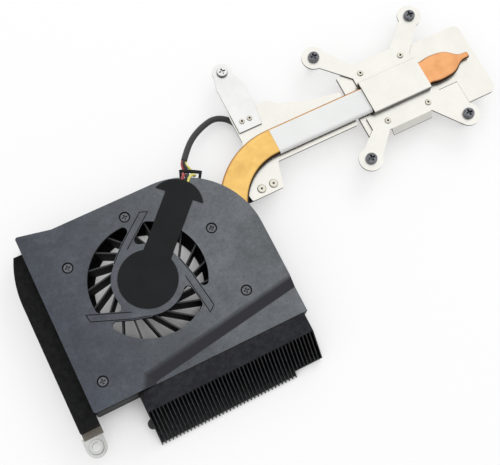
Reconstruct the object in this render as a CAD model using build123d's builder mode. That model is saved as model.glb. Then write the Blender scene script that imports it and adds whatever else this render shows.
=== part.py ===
"""Laptop cooler: a radial fan, a fin stack, a flattened heat pipe and a processor head with captive screws.

Millimetres. The origin is the middle of the face that meets the processor. +X runs along the heat pipe away
from the fan, +Y away from the fins, and +Z away from the board.
"""

import os
from math import cos, radians, sin, sqrt, tan

from build123d import *

# Processor head: contact pad, base plate and captive screws.
PAD_SIZE = 26.0
PAD_T = 2.0
PAD_CORNER = 1.5
PAD_CHAMFER = 0.3
BASE_T = 1.5
BASE_LEFT = -19.1
BASE_RIGHT = 41.0
BASE_NEAR = -17.0
BASE_FAR = 13.5
TONGUE_NEAR = -20.8
NOTCH_GAP = 0.5
BASE_CORNER = 3.0
SCREW_SPAN_X = 47.2
SCREW_SPAN_Y = 51.1
SCREW_THREAD_D = 2.5
SCREW_HEAD_D = 4.7
SCREW_HEAD_H = 1.7
CLIP_D = 5.0
CLIP_T = 0.5
CLIP_GAP = 0.4
NECK_SHARE = 0.76
HOLE_CLEARANCE = 0.2

# Clamp plate: a sheet with a raised channel over the pipe, two flanges and four arms.
CLAMP_T = 0.8
HAT_LEFT = -12.9
HAT_RIGHT = 14.6
HAT_NEAR = -8.9
HAT_FAR = 6.4
HAT_BEND = 0.7
FLANGE_NEAR = -17.4
FLANGE_FAR = 15.4
FLANGE_LEFT = -16.6
FLANGE_NOTCH = 3.0
NEAR_ROOT_X = -10.0
FAR_ROOT_X = 8.0
FAR_ROOT_RISE = 3.3
LIP_LEFT = -9.0
LIP_RIGHT = 9.7
LIP_REACH = 2.4
LIP_DROP = 1.6
EAR_R = 5.2
FAR_LEFT_ARM_W = 6.6
FAR_RIGHT_ARM_W = 6.0
NEAR_RIGHT_ARM_W = 7.0
WEB_LEFT = 17.8
WEB_RIGHT = 26.7
WEB_FAR = -10.7
RIVET_COLUMN_GAP = 19.7
RIVET_ROW_GAP = 24.2
RIVET_X = 0.9
RIVET_Y = -1.45
RIVET_HEAD_D = 2.6
RIVET_SHANK_D = 1.7
RIVET_BORE_D = 1.0
RIVET_HEAD_H = 0.5

# Heat pipe: a flattened round pipe with two bends and a pinched, sealed nose.
PIPE_W = 11.7
PIPE_T = 2.8
PIPE_Y = -1.6
PIPE_SIDE_GAP = 0.4
PIPE_BEND_R = 28.4
FIN_BEND_R = 20.0
NOSE_START = 15.5
NOSE_LENGTH = 21.7
NOSE_BULGE_W = 12.4
NOSE_TIP_W = 2.6
NOSE_TIP_T = 1.6
NOSE_RISE = 0.5
LABEL_GAP = 0.8
LABEL_END_GAP = 0.1
LABEL_FAR = 4.9
LABEL_T = 0.12

# Support plate under the pipe, with the ear bracket that is riveted to it.
SUPPORT_T = 1.2
SUPPORT_RIGHT = -20.8
SUPPORT_NEAR = -9.5
SUPPORT_GAP = 9.8
SUPPORT_FAR = 17.0
SUPPORT_RIGHT_FAR = 7.0
SUPPORT_CORNER = 0.9
WING_GAP = 2.2
WING_W = 14.1
WING_FLARE = 3.0
WING_BACK = 12.5
WING_RIVET_IN = 8.3
WING_RIVET_UP = 3.2
WING_RIVET_SPAN = 5.4
WING_RIVET_HEAD_D = 3.6
BRACKET_T = 0.8
BRACKET_INSET = 0.7
BRACKET_W = 10.3
BRACKET_NEAR = 8.2
BRACKET_ELBOW_W = 12.0
EAR_IN = 5.6
EAR_Y = 35.9
BRACKET_EAR_R = 4.2
EAR_RIVET_IN = 4.9
EAR_RIVET_Y = 12.4
EAR_RIVET_SPAN = 3.5
EAR_RIVET_HEAD_D = 2.2
EAR_SCREW_THREAD_D = 2.0
EAR_SCREW_HEAD_D = 4.4
EAR_SCREW_HEAD_H = 1.3

# Fan: its axis, height and plan outline. Plan values are measured from the axis.
FAN_X = -128.0
FAN_Y = -33.0
FAN_DROP = 4.0
FAN_H = 14.5
FAN_LEFT = -39.4
FAN_RIGHT = 50.0
FAN_FRONT = -37.7
FAN_BACK = 34.4
FAN_CORNER_R = 33.0
HORN_BACK = 37.4
HORN_END = -25.3
HORN_CORNER = 1.0
WALL = 1.5
FLOOR_T = 1.2
COVER_T = 1.5
RIM_DEPTH = 3.9
INLET_R = 23.3
LOWER_INLET_R = 21.8
INLET_CORNER = 1.8
HUB_R = 14.3
ARM_W = 2.3
ARM_EDGE = 0.6
ARM_OFFSET = 13.9
ARM_ANGLE = 38.0
ARM_REACH = 27.0
GROOVE = 0.4
STEP_DROP = 2.4
STEP_SLOPE = 65.4
STEP_ANGLE = 8.5
STEP_X = -17.0
STEP_Y = -32.1
STEP_END_LEAN = 29.0
COVER_SCREWS = [(2.3, 26.6), (-25.8, 17.4), (-31.7, -28.2), (31.0, 7.8), (32.0, -20.6)]
COVER_SCREW_HEAD_D = 3.6
COVER_SCREW_HEAD_H = 0.8
COVER_SCREW_D = 1.8
COVER_SCREW_LENGTH = 6.0
RECESS_D = 4.5
RECESS_DEPTH = 1.0
POST_D = 3.4
SCROLL_T = 1.2
SCROLL_GAPS = [(176.0, 4.4), (130.2, 5.2), (86.3, 7.1), (45.0, 9.7), (13.4, 10.3), (-18.8, 13.0)]
TONGUE_Y = -20.0
WING_LUG_BITE = 4.4
WING_LUG_W = 5.4
SIDE_SCREW_D = 1.6
SIDE_SCREW_HEAD_D = 3.0
SIDE_SCREW_HEAD_H = 0.9
SIDE_SCREW_LENGTH = 3.4
WIRE_CHANNEL_W = 4.0
WIRE_CHANNEL_DEPTH = 1.25
BRIDGE_W = 7.0
TAPE_T = 0.25
TAPE_DISC_R = 11.7
TAPE_STRIP_W = 11.3
TAPE_HEAD_R = 10.8
TAPE_HEAD_AT = 31.8
TAPE_HEAD_START = 36.0

# Motor and impeller, about the fan's axis.
SHAFT_D = 2.0
SHAFT_CHAMFER = 0.15
RUNNING_CLEARANCE = 0.03
SLEEVE_D = 4.4
SLEEVE_INSET = 1.0
RING_GAP = 0.1
RING_T = 0.3
TUBE_D = 6.4
TUBE_LENGTH = 8.8
TUBE_GAP = 0.7
BOARD_R = 12.0
BOARD_T = 0.8
CORE_R = 9.4
CORE_T = 4.0
CORE_LIFT = 1.4
CORE_RING_R = 4.6
POLE_W = 2.6
SHOE_T = 1.1
SHOE_ANGLE = 62.0
COIL_T = 0.9
COIL_GAP = 0.2
COIL_END_GAP = 0.5
POLES = 4
MAGNET_GAP = 0.4
MAGNET_T = 1.3
CUP_T = 0.7
CUP_LIFT = 1.0
HUB_WALL = 1.2
IMPELLER_R = 24.2
IMPELLER_GAP = 0.6
BLADES = 19
BLADE_T = 0.6
BLADE_SWEEP = 32.0

# Fin stack at the fan's outlet. Plan values are measured from the fan's axis.
FIN_LEFT = -21.8
FIN_COUNT = 47
FIN_T = 0.4
FIN_REAR = -34.0
FIN_FRONT = -57.9
FIN_TOP = 8.3
SEAT_DEPTH = 8.0
FIN_LIFT = 0.3
FIN_NOSE = 0.8
FIN_NOTCH_X = 36.2
FIN_NOTCH_Y = 2.4
FIN_NOTCH_Z = 2.7
FOAM_GAP = 0.2
FIN_FOAM_LEAN = 1.9
FIN_LIP = 0.7
FIN_SHEET = 0.35
LUG_R = 2.0
LUG_Z = 1.0
LUG_T = 2.0

# Side bracket with its screw tab, and the foam seal on it.
SIDE_W = 7.8
SIDE_T = 1.0
SIDE_Z = 1.0
SIDE_BACK = 31.2
SIDE_FRONT = -44.2
SIDE_FOAM_FRONT = -41.5
SIDE_CURVE_START = 12.0
SIDE_CURVE_INSET = 4.2
SIDE_FLANGE_DROP = 4.0
SIDE_FLANGE_L = 48.0
SIDE_SCREW_Y = 20.0
SIDE_FOAM_TOP = 7.0
LINER_T = 0.25
TAB_R = 4.0
TAB_Y = -48.0
TAB_OUT = 0.8
TAB_OVERLAP = 1.0
TAB_HOLE_D = 3.2
TAB_COLLAR_D = 5.4
TAB_COLLAR_H = 0.6

# Fan cable: three wires that leave the cover under a guide and enter a sleeve, in plan from the fan's axis.
# Each turn lists points along the channel, across it and down from it.
WIRE_D = 1.15
WIRE_SPACING = 1.25
WIRE_CLEARANCE = 0.04
WIRE_LEAD = 1.5
WIRE_ANGLE = 45.0
RED_TURN = [(45.0, 1.3, 0.0), (46.0, 2.1, 1.8), (46.4, 1.3, 5.3), (49.6, 3.3, 5.6)]
BLACK_TURN = [(45.6, 0.0, 0.0), (46.6, 0.3, 2.3), (46.7, -0.1, 5.3), (49.4, 1.75, 5.0)]
YELLOW_TURN = [(46.0, -1.3, 0.0), (47.2, -3.0, 2.1), (47.6, -1.8, 5.3), (49.9, 0.1, 5.7), (50.9, 1.6, 5.9)]
GUIDE_STANDOFF = 4.2
GUIDE_T = 1.1
GUIDE_H = 1.2
GUIDE_START = 55.5
GUIDE_SPAN = 12.5
SLEEVE_OUTER_D = 2.6
SLEEVE_ROUTE = [
    (34.5, 40.0, 4.4),
    (38.0, 44.5, 3.4),
    (43.0, 48.9, 2.0),
    (49.0, 51.9, 0.8),
    (55.0, 53.4, -0.2),
    (60.5, 50.6, -1.2),
    (63.3, 45.2, -2.1),
    (63.8, 39.6, -2.65),
    (63.8, 34.8, -2.65),
]
PLUG_W = 4.6
PLUG_L = 6.5
PLUG_H = 2.7
PLUG_CHAMFER = 0.4
PLUG_PITCH = 1.25
PLUG_SLOT_W = 0.7
PLUG_SLOT_H = 0.9
PLUG_SLOT_DEPTH = 2.0

# Heights that follow from the stack of pieces.
base_z = PAD_T
pipe_bottom = base_z + BASE_T
pipe_z = pipe_bottom + PIPE_T / 2
pipe_top = pipe_bottom + PIPE_T
support_z = pipe_bottom - SUPPORT_T
flange_top = pipe_bottom + CLAMP_T
hat_top = pipe_top + CLAMP_T
bracket_top = pipe_bottom + BRACKET_T
neck_bottom = pipe_bottom - CLIP_T - CLIP_GAP
table_z = -FAN_DROP
floor_top = table_z + FLOOR_T
cover_top = table_z + FAN_H
cover_under = cover_top - COVER_T
rim_z = cover_top - RIM_DEPTH
side_screw_z = SIDE_Z - SIDE_FLANGE_DROP / 2
fan = Plane((FAN_X, FAN_Y, 0))
fan_edge = FAN_X + FAN_RIGHT

# The pipe's second straight run, beside the scroll, and its run over the fins.
pipe_cross_x = fan_edge - WALL - PIPE_SIDE_GAP - PIPE_W / 2
fin_seat_front = FAN_FRONT - SEAT_DEPTH
pipe_run_y = FAN_Y + fin_seat_front + PIPE_W / 2 + FOAM_GAP
fin_right = FAN_RIGHT - WALL - FOAM_GAP
fin_pitch = (fin_right - FIN_T - FIN_LEFT) / (FIN_COUNT - 1)
pipe_end_x = FAN_X + FIN_LEFT + 3 * fin_pitch

# Support plate, wing, bracket and label, placed from the fan's edge.
support_left = fan_edge + SUPPORT_GAP
support_length = SUPPORT_RIGHT - support_left
wing_left = fan_edge + WING_GAP
wing_right = wing_left + WING_W
wing_near = FAN_Y + WING_BACK
wing_rivet_x = wing_left + WING_RIVET_IN
wing_rivet_y = wing_near + WING_RIVET_UP
bracket_left = support_left + BRACKET_INSET
ear_centre_x = bracket_left + EAR_IN
ear_rivet_x = bracket_left + EAR_RIVET_IN
label_left = pipe_cross_x + PIPE_BEND_R + LABEL_GAP
label_right = HAT_LEFT - LABEL_END_GAP

# Motor radii and heights, from the bearing outwards and from the hub plate down.
board_z = cover_under - BOARD_T
magnet_inner = CORE_R + MAGNET_GAP
cup_inner = magnet_inner + MAGNET_T
hub_inner = cup_inner + CUP_T
hub_outer = hub_inner + HUB_WALL
blade_bottom = floor_top + IMPELLER_GAP
blade_top = cover_under - IMPELLER_GAP
tube_bottom = cover_under - TUBE_LENGTH
cup_bottom = tube_bottom - TUBE_GAP - CUP_T
hub_bottom = cup_bottom - CUP_LIFT
core_bottom = tube_bottom + CORE_LIFT
rotor_top = board_z - IMPELLER_GAP
wire_slot_end = HUB_R - WALL
bundle_r = (WIRE_D + 2 * WIRE_CLEARANCE) / sqrt(3)

# Rivets between the clamp plate and the base plate.
clamp_rivet_spots = [
    (RIVET_X - RIVET_COLUMN_GAP / 2, RIVET_Y - RIVET_ROW_GAP / 2),
    (RIVET_X + RIVET_COLUMN_GAP / 2, RIVET_Y - RIVET_ROW_GAP / 2),
    (RIVET_X - RIVET_COLUMN_GAP / 2, RIVET_Y + RIVET_ROW_GAP / 2),
    (RIVET_X + RIVET_COLUMN_GAP / 2, RIVET_Y + RIVET_ROW_GAP / 2),
]


def bend_radii(route):
    """Largest tangent arcs that the runs beside each corner leave room for."""
    radii = []
    for before, corner, after in zip(route, route[1:], route[2:]):
        arriving = Vector(corner) - Vector(before)
        leaving = Vector(after) - Vector(corner)
        half_turn = radians(arriving.get_angle(leaving)) / 2
        radii.append(0.45 * min(arriving.length, leaving.length) / tan(half_turn))
    return radii


def tube(route, diameter):
    """A round tube along straight runs joined by tangent arcs."""
    with BuildPart() as piece:
        with BuildLine() as path:
            FilletPolyline(*route, radius=bend_radii(route))
        with BuildSketch(Plane(origin=path.line @ 0, z_dir=path.line % 0)):
            Circle(diameter / 2)
        sweep(path=path.line)
    return piece.part


def rivet(head_d, shank_d, bore_d, seat_z, tail_z):
    """A tubular rivet with a low domed head on the face at seat_z and its tail flush at tail_z."""
    with BuildPart() as piece:
        with BuildSketch(Plane.XZ) as section:
            with BuildLine():
                Polyline(
                    (bore_d / 2, tail_z),
                    (shank_d / 2, tail_z),
                    (shank_d / 2, seat_z),
                    (head_d / 2, seat_z),
                    (head_d / 2, seat_z + RIVET_HEAD_H / 2),
                    (head_d / 2 - RIVET_HEAD_H / 2, seat_z + RIVET_HEAD_H),
                    (bore_d / 2, seat_z + RIVET_HEAD_H),
                    close=True,
                )
            make_face()
        revolve(axis=Axis.Z)
    return piece.part


def cross_head_screw(head_d, head_h, shank_d, seat_z, tip_z, neck_z):
    """A pan head with a cross recess on the face at seat_z, a neck down to neck_z and a chamfered shank."""
    recess_l = 0.6 * head_d
    recess_w = 0.17 * head_d
    with BuildPart() as piece:
        with BuildSketch(Plane.XY.offset(seat_z)):
            Circle(head_d / 2)
        extrude(amount=head_h)
        fillet(piece.edges().group_by(Axis.Z)[-1], head_h * 0.35)
        with BuildSketch(Plane.XY.offset(tip_z)):
            Circle(shank_d / 2)
        extrude(amount=neck_z - tip_z)
        chamfer(piece.edges().group_by(Axis.Z)[0], shank_d * 0.12)
        with BuildSketch(Plane.XY.offset(neck_z)):
            Circle(shank_d * NECK_SHARE / 2)
        extrude(amount=seat_z - neck_z)
        with BuildSketch(Plane.XY.offset(seat_z + head_h)):
            Rectangle(recess_l, recess_w)
            Rectangle(recess_w, recess_l)
        extrude(amount=-head_h * 0.55, mode=Mode.SUBTRACT)
    return piece.part


# Plan outlines of the fan, shared by the cover and the housing.
with BuildSketch() as fan_plan:
    with BuildLine():
        Polyline(
            (FAN_RIGHT, FAN_BACK - FAN_CORNER_R),
            (FAN_RIGHT, FAN_FRONT),
            (FAN_LEFT, FAN_FRONT),
            (FAN_LEFT, HORN_BACK),
            (HORN_END, FAN_BACK),
            (FAN_RIGHT - FAN_CORNER_R, FAN_BACK),
        )
        RadiusArc((FAN_RIGHT - FAN_CORNER_R, FAN_BACK), (FAN_RIGHT, FAN_BACK - FAN_CORNER_R), FAN_CORNER_R)
    make_face()
    fillet(fan_plan.vertices().group_by(Axis.X)[0], HORN_CORNER)
with BuildSketch() as fan_inside:
    add(fan_plan.sketch)
    offset(amount=-WALL, mode=Mode.REPLACE)

# Region of the cover that steps down towards the fins, larger than the cover on its open sides.
step_reach = 2 * FAN_RIGHT
step_left = Vector(-sin(radians(STEP_END_LEAN)), -cos(radians(STEP_END_LEAN))) * step_reach
step_right = Vector(cos(radians(STEP_ANGLE)), sin(radians(STEP_ANGLE))) * step_reach
with BuildSketch() as step_plan:
    with BuildLine():
        Polyline(
            (STEP_X, STEP_Y),
            (STEP_X + step_right.X, STEP_Y + step_right.Y),
            (STEP_X + step_right.X, STEP_Y + step_left.Y),
            (STEP_X + step_left.X, STEP_Y + step_left.Y),
            close=True,
        )
    make_face()

# Hub plate and the arms that carry it: three swept arms and a radial bridge for the wires.
with BuildSketch() as arm:
    with BuildLine():
        Polyline(
            (ARM_OFFSET - ARM_W / 2, 0),
            (HUB_R, 0),
            (ARM_OFFSET + ARM_W / 2, -HUB_R / 2),
            (ARM_OFFSET + ARM_W / 2, -ARM_REACH),
            (ARM_OFFSET - ARM_W / 2, -ARM_REACH),
            close=True,
        )
    make_face()
    Circle(ARM_REACH, mode=Mode.INTERSECT)
with BuildSketch() as arms:
    with PolarLocations(0, 3, start_angle=ARM_ANGLE + 90):
        add(arm.sketch)
with BuildSketch() as spider:
    add(arms.sketch)
    offset(amount=ARM_EDGE, kind=Kind.INTERSECTION, mode=Mode.REPLACE)
    Circle(HUB_R)
    with PolarLocations(0, 1, start_angle=WIRE_ANGLE):
        Rectangle(INLET_R + ARM_W, BRIDGE_W, align=(Align.MIN, Align.CENTER))
with BuildSketch() as inlet:
    Circle(INLET_R)
    add(spider.sketch, mode=Mode.SUBTRACT)
    offset(amount=-INLET_CORNER, kind=Kind.ARC, mode=Mode.REPLACE)
    offset(amount=INLET_CORNER, kind=Kind.ARC, mode=Mode.REPLACE)
with BuildSketch() as arm_grooves:
    add(arms.sketch)
    offset(amount=GROOVE, kind=Kind.INTERSECTION, mode=Mode.REPLACE)
    add(arms.sketch, mode=Mode.SUBTRACT)
    Circle(HUB_R, mode=Mode.SUBTRACT)

# Top cover: a plate with a rim, stepped down towards the fins, with the bearing tube under its hub plate.
with BuildPart() as top_cover:
    with BuildSketch(fan.offset(cover_under)):
        add(fan_plan.sketch)
    extrude(amount=COVER_T)
    with BuildSketch(fan.offset(cover_under)):
        add(step_plan.sketch)
    extrude(amount=-(STEP_DROP - COVER_T + FLOOR_T), taper=STEP_SLOPE)
    with BuildSketch(fan.offset(rim_z)):
        add(fan_plan.sketch)
        add(fan_inside.sketch, mode=Mode.SUBTRACT)
    extrude(amount=cover_under - rim_z)
    with BuildSketch(fan.offset(rim_z)):
        add(fan_plan.sketch)
    extrude(amount=RIM_DEPTH, mode=Mode.INTERSECT)
    with BuildSketch(fan.offset(cover_top)):
        add(step_plan.sketch)
    extrude(amount=-STEP_DROP, taper=STEP_SLOPE, mode=Mode.SUBTRACT)
    with BuildSketch(fan.offset(cover_under)):
        add(inlet.sketch)
    extrude(amount=COVER_T, mode=Mode.SUBTRACT)
    with BuildSketch(fan.offset(cover_top)):
        add(arm_grooves.sketch)
    extrude(amount=-GROOVE, mode=Mode.SUBTRACT)
    with BuildSketch(fan.offset(tube_bottom)):
        Circle(TUBE_D / 2)
    extrude(amount=TUBE_LENGTH)
    with BuildSketch(fan.offset(tube_bottom)):
        Circle(SLEEVE_D / 2)
    extrude(amount=TUBE_LENGTH, mode=Mode.SUBTRACT)
    with BuildSketch(fan.offset(cover_top)):
        with PolarLocations(0, 1, start_angle=WIRE_ANGLE):
            Rectangle(2 * FAN_RIGHT, WIRE_CHANNEL_W, align=(Align.MIN, Align.CENTER))
        Circle(TUBE_D / 2 + WALL, mode=Mode.SUBTRACT)
    extrude(amount=-WIRE_CHANNEL_DEPTH, mode=Mode.SUBTRACT)
    with BuildSketch(fan.offset(cover_under)):
        with PolarLocations(TUBE_D / 2 + WALL, 1, start_angle=WIRE_ANGLE):
            Rectangle(wire_slot_end - TUBE_D / 2 - WALL, WIRE_CHANNEL_W, align=(Align.MIN, Align.CENTER))
    extrude(amount=COVER_T, mode=Mode.SUBTRACT)
    with BuildSketch(fan.offset(cover_top)):
        with Locations(*COVER_SCREWS):
            Circle(RECESS_D / 2)
    extrude(amount=-RECESS_DEPTH, mode=Mode.SUBTRACT)
    with BuildSketch(fan.offset(cover_under)):
        with Locations(*COVER_SCREWS):
            Circle(COVER_SCREW_D / 2 + HOLE_CLEARANCE)
    extrude(amount=COVER_T, mode=Mode.SUBTRACT)
top_cover.part.label = "top_cover"

# Path of the pipe, also used to open the housing's wall for it.
nose_joint = (NOSE_START, PIPE_Y)
pipe_corners = [
    nose_joint,
    (pipe_cross_x, PIPE_Y),
    (pipe_cross_x, pipe_run_y),
    (pipe_end_x, pipe_run_y),
]
with BuildLine() as pipe_plan:
    FilletPolyline(*pipe_corners, radius=[PIPE_BEND_R, FIN_BEND_R])

# Lower housing: floor, walls, scroll, screw posts, wire guide and the lug under the support plate's wing.
guide_r = FAN_CORNER_R + GUIDE_STANDOFF
guide_x = FAN_RIGHT - FAN_CORNER_R
guide_y = FAN_BACK - FAN_CORNER_R
outlet_left = FIN_LEFT - FOAM_GAP
wing_lug_l = wing_rivet_x + WING_RIVET_SPAN + WING_LUG_BITE - fan_edge
scroll_points = [(outlet_left - WALL / 2, TONGUE_Y)]
for angle, gap in SCROLL_GAPS:
    reach_r = IMPELLER_R + gap
    scroll_points.append((reach_r * cos(radians(angle)), reach_r * sin(radians(angle))))
with BuildSketch() as scroll:
    with BuildLine():
        ThreePointArc(*scroll_points[0:3])
        ThreePointArc(*scroll_points[2:5])
        ThreePointArc(*scroll_points[4:7])
    trace(line_width=SCROLL_T)
with BuildPart() as lower_housing:
    with BuildSketch(fan.offset(table_z)):
        add(fan_plan.sketch)
        Circle(LOWER_INLET_R, mode=Mode.SUBTRACT)
    extrude(amount=FLOOR_T)
    with BuildSketch(fan.offset(floor_top)):
        add(fan_plan.sketch)
        add(fan_inside.sketch, mode=Mode.SUBTRACT)
        with Locations(((outlet_left + FAN_RIGHT - WALL) / 2, FAN_FRONT)):
            Rectangle(FAN_RIGHT - WALL - outlet_left, 4 * WALL, mode=Mode.SUBTRACT)
        with Locations((outlet_left, FAN_FRONT)):
            Rectangle(WALL, TONGUE_Y - FAN_FRONT, align=(Align.MAX, Align.MIN))
    extrude(amount=rim_z - floor_top)
    with BuildSketch(fan.offset(floor_top)):
        add(scroll.sketch)
    extrude(amount=cover_under - HOLE_CLEARANCE - floor_top)
    with BuildSketch(fan.offset(floor_top)):
        with Locations(*COVER_SCREWS):
            Circle(POST_D / 2)
    extrude(amount=cover_under - floor_top)
    with BuildSketch(fan.offset(cover_under - COVER_SCREW_LENGTH)):
        with Locations(*COVER_SCREWS):
            Circle(COVER_SCREW_D / 2)
    extrude(amount=COVER_SCREW_LENGTH, mode=Mode.SUBTRACT)
    with BuildSketch(Plane.XY.offset(pipe_bottom - FOAM_GAP)):
        trace(pipe_plan.line, line_width=PIPE_W + 2 * FOAM_GAP)
    extrude(amount=rim_z - pipe_bottom + FOAM_GAP, mode=Mode.SUBTRACT)
    with BuildSketch(fan.offset(rim_z - GUIDE_H)):
        with BuildLine():
            CenterArc((guide_x, guide_y), guide_r, GUIDE_START, GUIDE_SPAN)
        trace(line_width=GUIDE_T)
        for leg_angle in (GUIDE_START, GUIDE_START + GUIDE_SPAN):
            leg_x = guide_x + (FAN_CORNER_R - WALL / 2) * cos(radians(leg_angle))
            leg_y = guide_y + (FAN_CORNER_R - WALL / 2) * sin(radians(leg_angle))
            with Locations(Location((leg_x, leg_y), leg_angle)):
                Rectangle(GUIDE_STANDOFF + WALL / 2 + GUIDE_T / 2, GUIDE_T, align=(Align.MIN, Align.CENTER))
    extrude(amount=GUIDE_H)
    with BuildSketch(Plane.XY.offset(support_z - WALL)):
        with Locations((fan_edge - WING_LUG_BITE, wing_rivet_y)):
            Rectangle(wing_lug_l, WING_LUG_W, align=(Align.MIN, Align.CENTER))
    extrude(amount=WALL)
    with BuildSketch(Plane.XY.offset(support_z - WALL)):
        with Locations((wing_rivet_x, wing_rivet_y)):
            with GridLocations(WING_RIVET_SPAN, 0, 2, 1):
                Circle(RIVET_SHANK_D / 2)
    extrude(amount=WALL, mode=Mode.SUBTRACT)
    with BuildSketch(fan.offset(floor_top)):
        with Locations((FAN_LEFT + WALL, SIDE_SCREW_Y), (FAN_LEFT + WALL, -SIDE_SCREW_Y)):
            Rectangle(SIDE_SCREW_LENGTH - WALL, 2 * SIDE_SCREW_HEAD_D, align=(Align.MIN, Align.CENTER))
    extrude(amount=side_screw_z + SIDE_SCREW_HEAD_D - floor_top)
    with BuildSketch(Plane.YZ.offset(FAN_X + FAN_LEFT)):
        with Locations((FAN_Y + SIDE_SCREW_Y, side_screw_z), (FAN_Y - SIDE_SCREW_Y, side_screw_z)):
            Circle(SIDE_SCREW_D / 2)
    extrude(amount=SIDE_SCREW_LENGTH, mode=Mode.SUBTRACT)
lower_housing.part.label = "lower_housing"

# Cover screws, seated in the cover's recesses.
cover_screw = cross_head_screw(
    COVER_SCREW_HEAD_D,
    COVER_SCREW_HEAD_H,
    COVER_SCREW_D,
    cover_top - RECESS_DEPTH,
    cover_under - COVER_SCREW_LENGTH + HOLE_CLEARANCE,
    cover_under,
)
with BuildPart() as cover_screws:
    with Locations(*[(FAN_X + x, FAN_Y + y) for x, y in COVER_SCREWS]):
        add(cover_screw)
cover_screws.part.label = "cover_screws"

# Tape over the hub plate and the wire channel, with a round head near the cover's corner.
with BuildSketch() as tape_head:
    with PolarLocations(TAPE_HEAD_AT, 1, start_angle=WIRE_ANGLE):
        Circle(TAPE_HEAD_R)
    with PolarLocations(TAPE_HEAD_START, 1, start_angle=WIRE_ANGLE):
        Rectangle(FAN_RIGHT, 2 * TAPE_HEAD_R, align=(Align.MIN, Align.CENTER), mode=Mode.INTERSECT)
with BuildPart() as hub_tape:
    with BuildSketch(fan.offset(cover_top)):
        with PolarLocations(0, 1, start_angle=WIRE_ANGLE):
            Rectangle(TAPE_HEAD_AT + TAPE_HEAD_R / 2, TAPE_STRIP_W, align=(Align.MIN, Align.CENTER))
        Circle(TAPE_DISC_R)
        add(tape_head.sketch)
    extrude(amount=TAPE_T)
hub_tape.part.label = "hub_tape"

# Motor board, bearing, stator and coils, hung from the cover.
with BuildPart() as motor_board:
    with BuildSketch(fan.offset(board_z)):
        Circle(BOARD_R)
        Circle(TUBE_D / 2 + RUNNING_CLEARANCE, mode=Mode.SUBTRACT)
    extrude(amount=BOARD_T)
motor_board.part.label = "motor_board"

sleeve_length = TUBE_LENGTH - SLEEVE_INSET
with BuildPart() as bearing_sleeve:
    with BuildSketch(fan.offset(tube_bottom)):
        Circle(SLEEVE_D / 2)
        Circle(SHAFT_D / 2 + RUNNING_CLEARANCE, mode=Mode.SUBTRACT)
    extrude(amount=sleeve_length)
bearing_sleeve.part.label = "bearing_sleeve"

with BuildSketch() as core_section:
    with PolarLocations(0, POLES):
        Rectangle(CORE_R - SHOE_T / 2, POLE_W, align=(Align.MIN, Align.CENTER))
    with PolarLocations(0, POLES, start_angle=-SHOE_ANGLE / 2):
        with BuildLine(mode=Mode.PRIVATE) as shoe_line:
            CenterArc((0, 0), CORE_R - SHOE_T / 2, 0, SHOE_ANGLE)
        with BuildSketch(mode=Mode.PRIVATE) as shoe:
            trace(shoe_line.line, line_width=SHOE_T)
        add(shoe.sketch)
    Circle(CORE_RING_R)
    Circle(TUBE_D / 2 + RUNNING_CLEARANCE, mode=Mode.SUBTRACT)
with BuildPart() as stator_core:
    with BuildSketch(fan.offset(core_bottom)):
        add(core_section.sketch)
    extrude(amount=CORE_T)
stator_core.part.label = "stator_core"

coil_start = CORE_RING_R + COIL_GAP
coil_end = CORE_R - SHOE_T - COIL_END_GAP
with BuildPart() as stator_coils:
    with BuildSketch(fan.offset(core_bottom - COIL_T)):
        with PolarLocations((coil_start + coil_end) / 2, POLES):
            Rectangle(coil_end - coil_start, POLE_W + 2 * COIL_T)
    extrude(amount=CORE_T + 2 * COIL_T)
    with BuildSketch(fan.offset(core_bottom)):
        with PolarLocations((coil_start + coil_end) / 2, POLES):
            Rectangle(coil_end - coil_start, POLE_W)
    extrude(amount=CORE_T, mode=Mode.SUBTRACT)
stator_coils.part.label = "stator_coils"

# Rotor: magnet ring, steel cup, shaft with its clip, and the impeller around them.
with BuildPart() as rotor_magnet:
    with BuildSketch(fan.offset(core_bottom - COIL_T)):
        Circle(cup_inner)
        Circle(magnet_inner, mode=Mode.SUBTRACT)
    extrude(amount=rotor_top - IMPELLER_GAP - core_bottom + COIL_T)
rotor_magnet.part.label = "rotor_magnet"

with BuildPart() as rotor_cup:
    with BuildSketch(fan.offset(cup_bottom)):
        Circle(hub_inner)
        Circle(SHAFT_D / 2, mode=Mode.SUBTRACT)
    extrude(amount=rotor_top - cup_bottom)
    with BuildSketch(fan.offset(cup_bottom + CUP_T)):
        Circle(cup_inner)
    extrude(amount=rotor_top - cup_bottom - CUP_T, mode=Mode.SUBTRACT)
rotor_cup.part.label = "rotor_cup"

shaft_top = tube_bottom + sleeve_length + IMPELLER_GAP
clip_z = tube_bottom + sleeve_length + RING_GAP
with BuildPart() as motor_shaft:
    with BuildSketch(fan.offset(cup_bottom)):
        Circle(SHAFT_D / 2)
    extrude(amount=shaft_top - cup_bottom)
    chamfer(motor_shaft.edges().group_by(Axis.Z)[-1], SHAFT_CHAMFER)
motor_shaft.part.label = "motor_shaft"

with BuildPart() as shaft_clip:
    with BuildSketch(fan.offset(clip_z)):
        Circle(SLEEVE_D / 2 - HOLE_CLEARANCE)
        Circle(SHAFT_D / 2, mode=Mode.SUBTRACT)
    extrude(amount=RING_T)
shaft_clip.part.label = "shaft_clip"

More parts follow.
